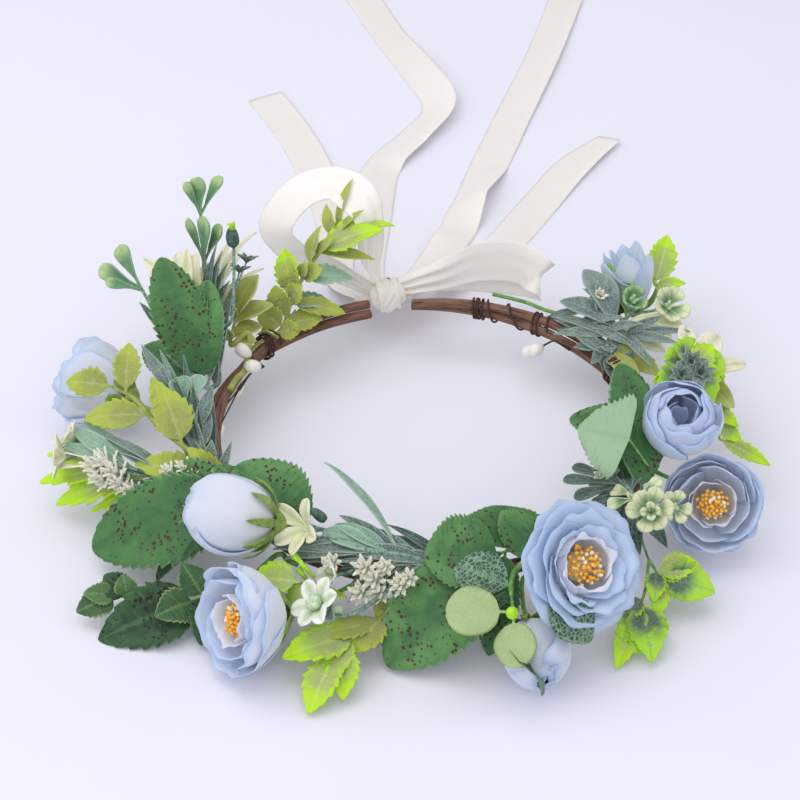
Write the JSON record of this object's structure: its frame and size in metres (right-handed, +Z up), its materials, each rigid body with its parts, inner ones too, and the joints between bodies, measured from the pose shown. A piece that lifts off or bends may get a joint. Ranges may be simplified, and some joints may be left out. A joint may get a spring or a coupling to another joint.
{
  "type": "flower crown",
  "caption": "Open vine ring with bound artificial flowers, leaf sprays and berries, closed at the back by a ribbon bow with long tails.",
  "frame": {"origin": "on the table plane, under the centre of the head opening", "axes": "+Z up out of the opening, +Y from the centre to the ribbon bow at the back, +X towards the wearer's left"},
  "size_m": [0.3484, 0.6174, 0.0883],
  "materials": {
    "vine_bark": "dry brown bark, matt, grooved along the vine",
    "paper_wire": "dark brown paper-covered floral wire, matt",
    "ribbon_satin": "cream woven satin, soft sheen",
    "petal_cloth": "pale blue printed petal cloth, matt",
    "stamen_tips": "orange-yellow stamens with matt tips",
    "calyx_green": "moulded green plastic, matt",
    "stem_green": "green plastic-covered wire, semi-matt",
    "spotted_leaf_cloth": "green printed leaf cloth with brown specks",
    "yellow_green_flock": "moulded yellow-green leaves with pale flocking",
    "lime_leaf": "moulded lime-green leaves, slightly glossy",
    "grey_green_flock": "moulded grey-green leaves with white flocking",
    "dark_leaf_cloth": "dark green leaf cloth, matt",
    "berry_foam": "ivory painted foam berries, matt"
  },
  "bodies": {
    "crown": {"berry_pick_left": "berry_foam", "berry_pick_right": "berry_foam", "binding_wire_back_left": "paper_wire", "binding_wire_back_right": "paper_wire", "binding_wire_front": "paper_wire", "binding_wire_left": "paper_wire", "binding_wire_right": "paper_wire", "boxwood_sprig_back_left": "grey_green_flock", "boxwood_sprig_right": "grey_green_flock", "bud_back_right_calyx": "calyx_green", "bud_back_right_petals": "petal_cloth", "bud_back_right_stem": "stem_green", "bud_front_calyx": "calyx_green", "bud_front_petals": "petal_cloth", "bud_front_stem": "stem_green", "bud_left_calyx": "calyx_green", "bud_left_petals": "petal_cloth", "bud_left_stem": "stem_green", "dusty_sprig_front": "grey_green_flock", "dusty_sprig_left": "grey_green_flock", "dusty_sprig_right": "grey_green_flock", "eucalyptus_front": "dark_leaf_cloth", "flocked_leaves_back_left": "yellow_green_flock", "flocked_leaves_left": "yellow_green_flock", "ivy_sprig_left_front": "dark_leaf_cloth", "lime_leaves_front": "lime_leaf", "lime_leaves_right": "lime_leaf", "lime_leaves_right_front": "lime_leaf", "olive_leaves_back_left": "yellow_green_flock", "open_flower_front_calyx": "calyx_green", "open_flower_front_petals": "petal_cloth", "open_flower_front_stamens": "stamen_tips", "open_flower_front_stem": "stem_green", "open_flower_left_front_calyx": "calyx_green", "open_flower_left_front_petals": "petal_cloth", "open_flower_left_front_stamens": "stamen_tips", "open_flower_left_front_stem": "stem_green", "open_flower_right_calyx": "calyx_green", "open_flower_right_petals": "petal_cloth", "open_flower_right_stamens": "stamen_tips", "open_flower_right_stem": "stem_green", "ribbon_knot": "ribbon_satin", "ribbon_loop_left": "ribbon_satin", "ribbon_loop_right": "ribbon_satin", "rolled_flower_back_left_calyx": "calyx_green", "rolled_flower_back_left_petals": "petal_cloth", "rolled_flower_back_left_stem": "stem_green", "rolled_flower_right_calyx": "calyx_green", "rolled_flower_right_petals": "petal_cloth", "rolled_flower_right_stem": "stem_green", "spotted_leaves_back_left": "spotted_leaf_cloth", "spotted_leaves_front": "spotted_leaf_cloth", "spotted_leaves_left": "spotted_leaf_cloth", "spotted_leaves_right": "spotted_leaf_cloth", "vine_strand_first": "vine_bark", "vine_strand_second": "vine_bark"},
    "tail_left_short": {"ribbon_tail_left_short": "ribbon_satin"},
    "tail_left_long": {"ribbon_tail_left_long": "ribbon_satin"},
    "tail_right_long": {"ribbon_tail_right_long": "ribbon_satin"},
    "tail_right_short": {"ribbon_tail_right_short": "ribbon_satin"}
  },
  "joints": [
    {"name": "tail_left_short_swing", "type": "hinge", "parent": "crown", "child": "tail_left_short", "pos_m": [0, 0.109, 0.02], "axis": [1, 0, 0], "range_deg": [-80, 10]},
    {"name": "tail_left_long_swing", "type": "hinge", "parent": "crown", "child": "tail_left_long", "pos_m": [0, 0.109, 0.02], "axis": [1, 0, 0], "range_deg": [-80, 10]},
    {"name": "tail_right_long_swing", "type": "hinge", "parent": "crown", "child": "tail_right_long", "pos_m": [0, 0.109, 0.02], "axis": [1, 0, 0], "range_deg": [-80, 10]},
    {"name": "tail_right_short_swing", "type": "hinge", "parent": "crown", "child": "tail_right_short", "pos_m": [0, 0.109, 0.02], "axis": [1, 0, 0], "range_deg": [-80, 10]}
  ]
}
